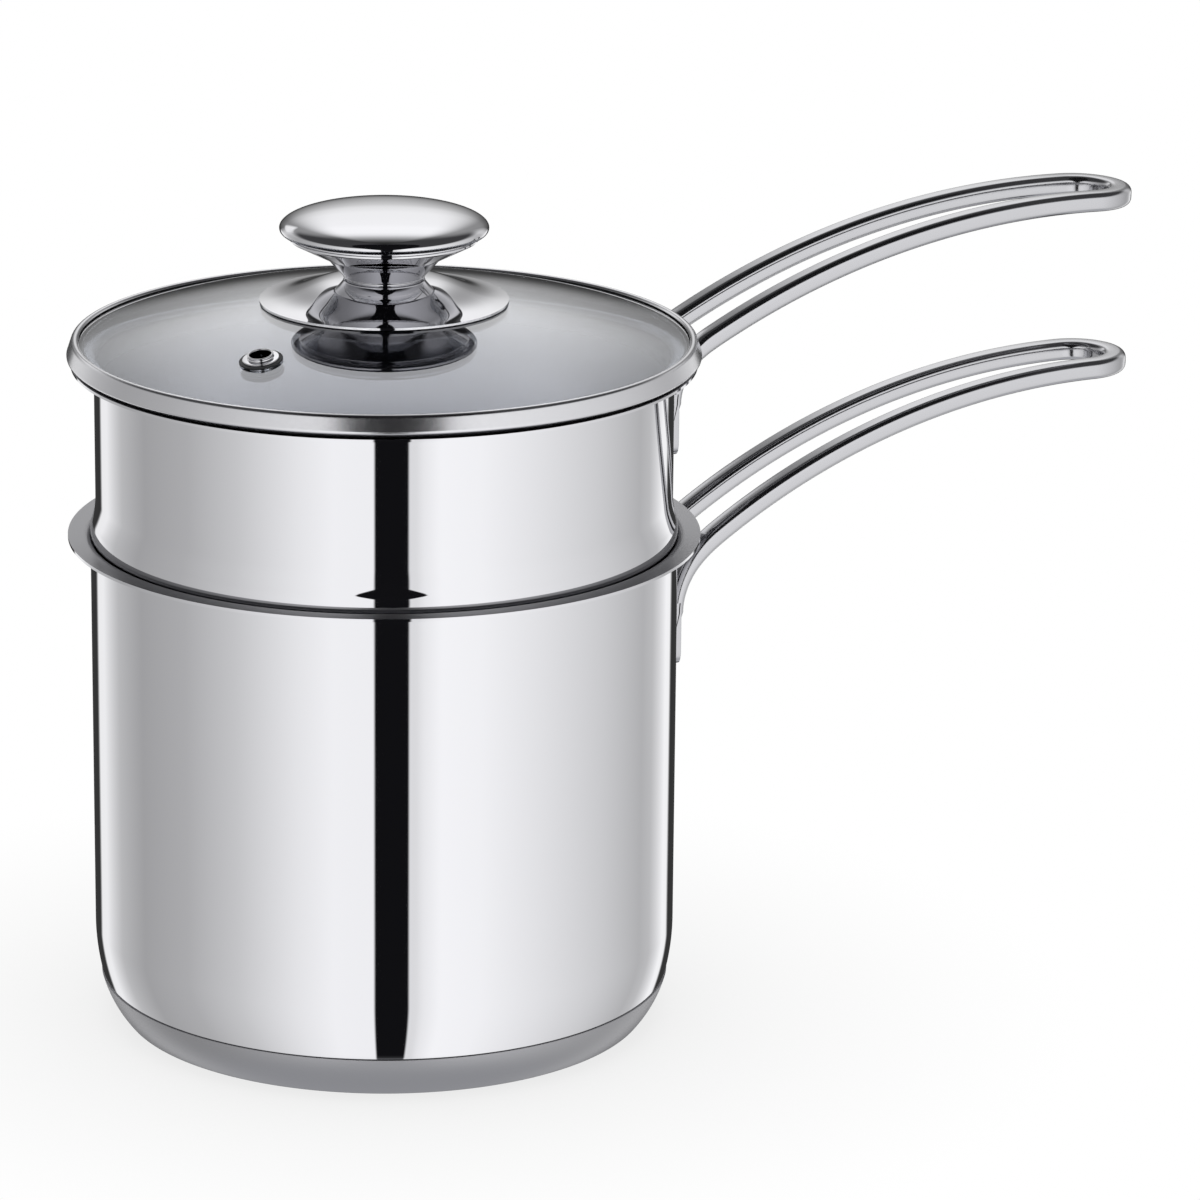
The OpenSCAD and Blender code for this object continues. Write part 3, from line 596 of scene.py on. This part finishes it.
def silicone():
    """Moulded dark grey silicone rubber: matt, with the low gloss of a smooth mould."""
    return new_material(
        "silicone_rubber", Base_Color=linear("#2B2C2E"), Roughness=0.55, IOR=1.41)[0]


def brass():
    """Turned brass, hidden inside the knob."""
    return new_material(
        "turned_brass", Base_Color=linear("#C9A765"), Metallic=1.0, Roughness=0.3)[0]


def aluminium():
    """Plain aluminium, sealed in the base."""
    return new_material(
        "plain_aluminium", Base_Color=linear("#D5D6D8"), Metallic=1.0, Roughness=0.4)[0]


STEEL, POT_STEEL, SATIN, GLASS = polished_steel(), pot_steel(), satin_steel(), clear_glass()
BAND_STEEL = satin_mirror_steel("rim_band_stainless_steel", "#C2C2C5", 0.2)
HANDLE_STEEL = satin_mirror_steel("handle_stainless_steel", "#AEAEB1", 0.14)
SILICONE, BRASS, ALUMINIUM = silicone(), brass(), aluminium()


# Pieces

def dress(piece, material, body, slot, *nodes):
    """Gives a piece its material and its body, and hides the CAD nodes it stands for; its finish,
    slot, is not used.
    """
    piece.data.materials.append(material)
    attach(piece, body)
    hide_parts(*nodes)


def drilled_glass():
    """The glass dome with the vent's hole drilled along the glass's normal."""
    dome = turned_piece("glass_dome", glass_section(), 360, ring=True)
    hole_r, low_z = VENT_R + VENT_T + HOLE_GAP, -GLASS_T - DRILL_PAST
    rod = np.array([[0, low_z], [hole_r, low_z], [hole_r, DRILL_PAST], [0, DRILL_PAST]])
    drill = at_vent(turned_piece("drill", rod, 96))
    cut = dome.modifiers.new("vent_hole", "BOOLEAN")
    cut.object, cut.operation, cut.solver = drill, "DIFFERENCE", "EXACT"
    drilled = bpy.data.meshes.new_from_object(
        dome.evaluated_get(bpy.context.evaluated_depsgraph_get()))
    dome.modifiers.clear()
    dome.data = drilled
    drilled.set_sharp_from_angle(angle=math.radians(30))
    bpy.data.objects.remove(drill)
    return dome


dress(turned_piece("saucepan", sheet_section(pot_line, POT_T), 360),
      POT_STEEL, "lower_pot", "polished_steel", "pot_body")
dress(turned_piece("capsule_base", sheet_section(base_line, CAP_SHEET)),
      SATIN, "lower_pot", "satin_steel", "base_cap")
dress(loop_handle("lower_loop_handle", POT_R, LOWER_ARCH_S, POT_H + LOWER_ARCH_UP,
                  LOWER_ARCH_R, LOWER_ROOT_R, LOWER_FOOT_H),
      HANDLE_STEEL, "lower_pot", "polished_steel", "pot_handle")
dress(turned_piece("insert_pot", sheet_section(insert_line, INSERT_T), 360),
      POT_STEEL, "insert", "polished_steel", "insert_body")
dress(loop_handle("upper_loop_handle", INSERT_R, UPPER_ARCH_S, INSERT_RIM_Z + UPPER_ARCH_UP,
                  UPPER_ARCH_R, UPPER_ROOT_R, UPPER_FOOT_H),
      HANDLE_STEEL, "insert", "polished_steel", "insert_handle")
dress(turned_piece("lid_rim_band", sheet_section(band_line, BAND_T), 360, ring=True),
      BAND_STEEL, "lid", "polished_steel", "lid_band")
dress(turned_piece("knob_top", sheet_section(cap_line, CAP_T), 216),
      STEEL, "lid", "polished_steel", "knob_cap")
dress(turned_piece("knob_stem", cone_section(), 216),
      STEEL, "lid", "polished_steel", "knob_cone")
dress(turned_piece("knob_skirt_disc", sheet_section(disc_line, DISC_T), 216, ring=True),
      STEEL, "lid", "polished_steel", "knob_disc")
dress(at_vent(turned_piece("steam_vent_eyelet", eyelet_section(), 96, ring=True)),
      STEEL, "lid", "polished_steel", "vent_eyelet")
dress(at_vent(turned_piece(
          "steam_vent_seal",
          ring_section(VENT_R + VENT_T + BOND, VENT_SEAL_R, BOND, VENT_SEAL_T), 96, ring=True)),
      SILICONE, "lid", "silicone", "vent_upper_seal")
dress(drilled_glass(), GLASS, "lid", "glass", "lid_glass")

for node, material in {
        "base_core": ALUMINIUM, "pot_handle_welds": SATIN, "insert_handle_welds": SATIN,
        "lid_seal": SILICONE, "vent_lower_seal": SILICONE, "knob_boss": BRASS,
        "knob_seal": SILICONE, "knob_lower_seal": SILICONE, "knob_washer": SATIN,
        "knob_screw": SATIN}.items():
    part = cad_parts[node]
    part.data.materials.clear()
    part.data.materials.append(material)


# Studio

PHOTO_SIDE, AXIS_X, AXIS_Y, LENS_PIXELS = 1200, 384.2, 662.8, 6341.6
CAMERA_SIDE = np.array([-0.350, -0.937, 0.0])
CAMERA_AWAY, CAMERA_UP, AIM_UP, SENSOR = 1.6843, 0.6151, 0.1, 36
CAMERA_TURN = math.atan2(CAMERA_SIDE[1], CAMERA_SIDE[0])
STUDIO_LEVEL = 1.48
TABLE_HALF, TABLE_GAP, SHADE_REACH = 6.0, 0.0002, 0.12

# How light the walls are at each angle round the pots from the camera, in degrees.
WALLS = [(-180, 0.03), (-155, 0.03), (-152, 0.80), (-144, 0.86), (-128, 0.53), (-110, 0.40),
         (-84, 0.475), (-60, 0.645), (-34, 0.91), (-20, 1.02), (0, 1.0), (12, 0.80),
         (15, 0.93), (22, 1.06), (38, 1.03), (64, 0.88), (95, 0.69), (122, 0.49), (131, 0.54),
         (138, 0.70), (146, 0.90), (152, 0.84), (155, 0.03), (180, 0.03)]
# How light the studio is behind the pots at each height over the horizon, in degrees.
REAR = [(-14, 0.03), (-5, 0.10), (2, 0.28), (8, 0.42), (12, 0.56), (15, 0.74), (20, 0.88),
        (25, 0.92), (32, 0.97), (37, 1.04), (45, 1.04), (50, 0.90), (57, 0.50), (68, 0.14),
        (80, 0.03)]


def put_stops(ramp, stops):
    """Puts grey stops [(position, level)] on a colour ramp."""
    elements = ramp.color_ramp.elements
    while len(elements) < len(stops):
        elements.new(0.5)
    for element, (position, level) in zip(elements, stops):
        element.position = position
        element.color = (level, level, level, 1)


def studio_world():
    """White to the camera and to soft light. Metal and glass see the studio: white walls
    that darken towards the sides, a black slit beside the camera, black flags far behind the
    pots, and a broad soft box overhead that ends below a dark ceiling."""
    world = bpy.data.worlds.new("studio")
    bpy.context.scene.world = world
    world.use_nodes = True
    tree = world.node_tree
    degrees, soft = math.radians, {"interpolation_type": "SMOOTHSTEP"}

    def node(kind, *sources, **settings):
        """A node of the world whose first inputs take the sources in turn."""
        return add(tree, kind, dict(enumerate(sources)), **settings)

    # Angle round the pots from the camera, and rise over the horizon, in radians
    ray = node("LightPath").outputs
    view = node("Mapping", node("TexCoord").outputs["Generated"],
                Rotation=(0, 0, -CAMERA_TURN), vector_type="POINT")
    axes = node("SeparateXYZ", view).outputs
    angle = node("Math", axes["Y"], axes["X"], operation="ARCTAN2")
    side = node("Math", angle, operation="ABSOLUTE")
    rise = node("Math", axes["Z"], operation="ARCSINE")

    # Walls under a dark ceiling
    share = node("Math", angle, operation="MULTIPLY_ADD", in1=1 / (2 * math.pi), in2=0.5)
    walls = node("ValToRGB", share)
    put_stops(walls, [(0.5 + turn / 360, level) for turn, level in WALLS])
    ceiling = node("MapRange", rise, in1=degrees(20), in2=degrees(36), **soft)
    lit = add(tree, "Mix", {"Factor": ceiling, 6: walls}, data_type="RGBA",
              in7=(0.05, 0.05, 0.052, 1))

    # The black slit beside the camera, wider from 9 degrees up
    aside = node("Math", angle, operation="SUBTRACT", in1=degrees(2.9))
    aside = node("Math", aside, operation="ABSOLUTE")
    over = node("Math", rise, operation="SUBTRACT", in1=degrees(9))
    over = node("Math", over, operation="MAXIMUM", in1=0.0)
    half = node("Math", over, operation="MULTIPLY_ADD", in1=1.0, in2=degrees(6.1))
    past = node("Math", aside, half, operation="SUBTRACT")
    clear = node("MapRange", past, in1=0.0, in2=degrees(1.2), **soft)
    lit = add(tree, "Mix", {"Factor": clear, 7: lit.outputs[2]}, data_type="RGBA",
              in6=(0.006, 0.006, 0.007, 1))

    # The soft box behind, which fades away from straight behind except at its left
    height = node("Math", axes["Z"], operation="MULTIPLY_ADD", in1=0.5, in2=0.5)
    box = node("ValToRGB", height)
    put_stops(box, [(0.5 + 0.5 * math.sin(degrees(up)), level) for up, level in REAR])
    off = node("Math", side, operation="MULTIPLY_ADD", in1=-1.0, in2=math.pi)
    lean = node("Math", rise, operation="MULTIPLY", in1=0.35)
    off = node("Math", off, lean, operation="SUBTRACT")
    middle = node("MapRange", off, in1=degrees(-3), in2=degrees(11), in3=1.0, in4=0.3, **soft)
    left = node("Math", angle, operation="ADD", in1=degrees(149))
    left = node("Math", left, operation="ABSOLUTE")
    left = node("MapRange", left, in1=degrees(15), in2=degrees(7), **soft)
    for first, last in ((11, 17), (31, 26)):
        within = node("MapRange", rise, in1=degrees(first), in2=degrees(last), **soft)
        left = node("Math", left, within, operation="MULTIPLY")
    level = node("Math", middle, left, operation="MAXIMUM")
    box = add(tree, "VectorMath", {0: box, "Scale": level}, operation="SCALE")

    # The whole: the box behind over the walls, and a grey floor straight below
    rear = node("MapRange", side, in1=degrees(132), in2=degrees(158), **soft)
    lift = node("MapRange", axes["Z"], in1=-0.14, in2=0.05, **soft)
    behind = node("Math", rear, lift, operation="MULTIPLY")
    upper = add(tree, "Mix", {"Factor": behind, 6: lit.outputs[2], 7: box}, data_type="RGBA")
    low = node("MapRange", axes["Z"], in1=-0.72, in2=-0.9, **soft)
    studio = add(tree, "Mix", {"Factor": low, 6: upper.outputs[2]}, data_type="RGBA",
                 in7=linear("#BFC0C3"))
    studio = node("VectorMath", studio.outputs[2], operation="SCALE", Scale=STUDIO_LEVEL)
    seen = node("Math", ray["Is Glossy Ray"], ray["Is Transmission Ray"], operation="MAXIMUM")
    colour = add(tree, "Mix", {"Factor": seen, 7: studio}, data_type="RGBA", in6=(1, 1, 1, 1))
    tree.links.new(colour.outputs[2], tree.nodes["Background"].inputs["Color"])


def studio_floor():
    """A white table. The camera sees it as white as the background, less the object's own
    soft shadow; metal looks past it at the studio's lower half."""
    mesh = bpy.data.meshes.new("table")
    corners = np.array([[-1, -1], [1, -1], [1, 1], [-1, 1]]) * TABLE_HALF
    mesh.from_pydata([(x, y, -TABLE_GAP) for x, y in corners.tolist()], [], [(0, 1, 2, 3)])
    table = bpy.data.objects.new("table", mesh)
    bpy.context.scene.collection.objects.link(table)
    material, tree, shader = new_material("white_table")
    tree.nodes.remove(shader)
    shade = add(tree, "AmbientOcclusion", samples=8, Distance=SHADE_REACH)
    soft = add(tree, "MapRange", {"Value": shade.outputs["AO"]},
               in1=0.35, in2=1.0, in3=0.82, in4=1.0)
    glow = add(tree, "Emission", {"Color": soft})
    tree.links.new(glow.outputs[0], tree.nodes["Material Output"].inputs["Surface"])
    mesh.materials.append(material)
    table.visible_glossy = False
    table.visible_transmission = False


def studio_camera():
    """The photograph's camera: its place, its lens and the small shift of its frame."""
    data = bpy.data.cameras.new("camera")
    camera = bpy.data.objects.new("camera", data)
    bpy.context.scene.collection.objects.link(camera)
    bpy.context.scene.camera = camera
    away = CAMERA_SIDE / np.linalg.norm(CAMERA_SIDE)
    eye = away * CAMERA_AWAY + [0, 0, CAMERA_UP]
    forward = Vector(([0, 0, AIM_UP] - eye)).normalized()
    camera.matrix_world = (Matrix.Translation(eye) @ forward.to_track_quat("-Z", "Y").to_matrix()
                           .to_4x4())
    data.sensor_width = SENSOR
    data.lens = LENS_PIXELS / PHOTO_SIDE * SENSOR
    data.shift_x = (PHOTO_SIDE / 2 - AXIS_X) / PHOTO_SIDE
    data.shift_y = (AXIS_Y - PHOTO_SIDE / 2) / PHOTO_SIDE
    data.clip_start, data.clip_end = 0.05, 50


studio_world()
studio_floor()
studio_camera()
bpy.context.scene.view_settings.view_transform = "Standard"
